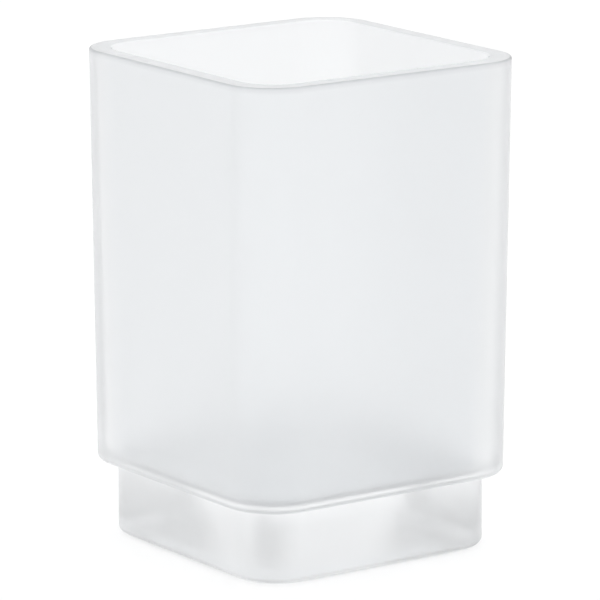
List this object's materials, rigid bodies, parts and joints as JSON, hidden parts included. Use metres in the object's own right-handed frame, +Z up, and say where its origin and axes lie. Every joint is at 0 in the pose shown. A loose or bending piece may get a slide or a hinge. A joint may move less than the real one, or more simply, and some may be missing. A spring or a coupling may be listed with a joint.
{
  "type": "toothbrush tumbler",
  "caption": "Square satin glass tumbler with rounded corners, thick base and a smaller square foot under a shoulder ledge; holds toothbrushes on a shelf or in a ring holder.",
  "frame": {"origin": "centre of the foot's underside, on the surface the glass stands on", "axes": "+Z up through the mouth, X and Y square to the flat sides"},
  "size_m": [0.0664, 0.0664, 0.1],
  "materials": {
    "satin_glass": "clear glass, acid-etched to an even satin on every face, with a very slight cool green where it is thick"
  },
  "bodies": {
    "root": {"glass_tumbler": "satin_glass"}
  },
  "joints": []
}
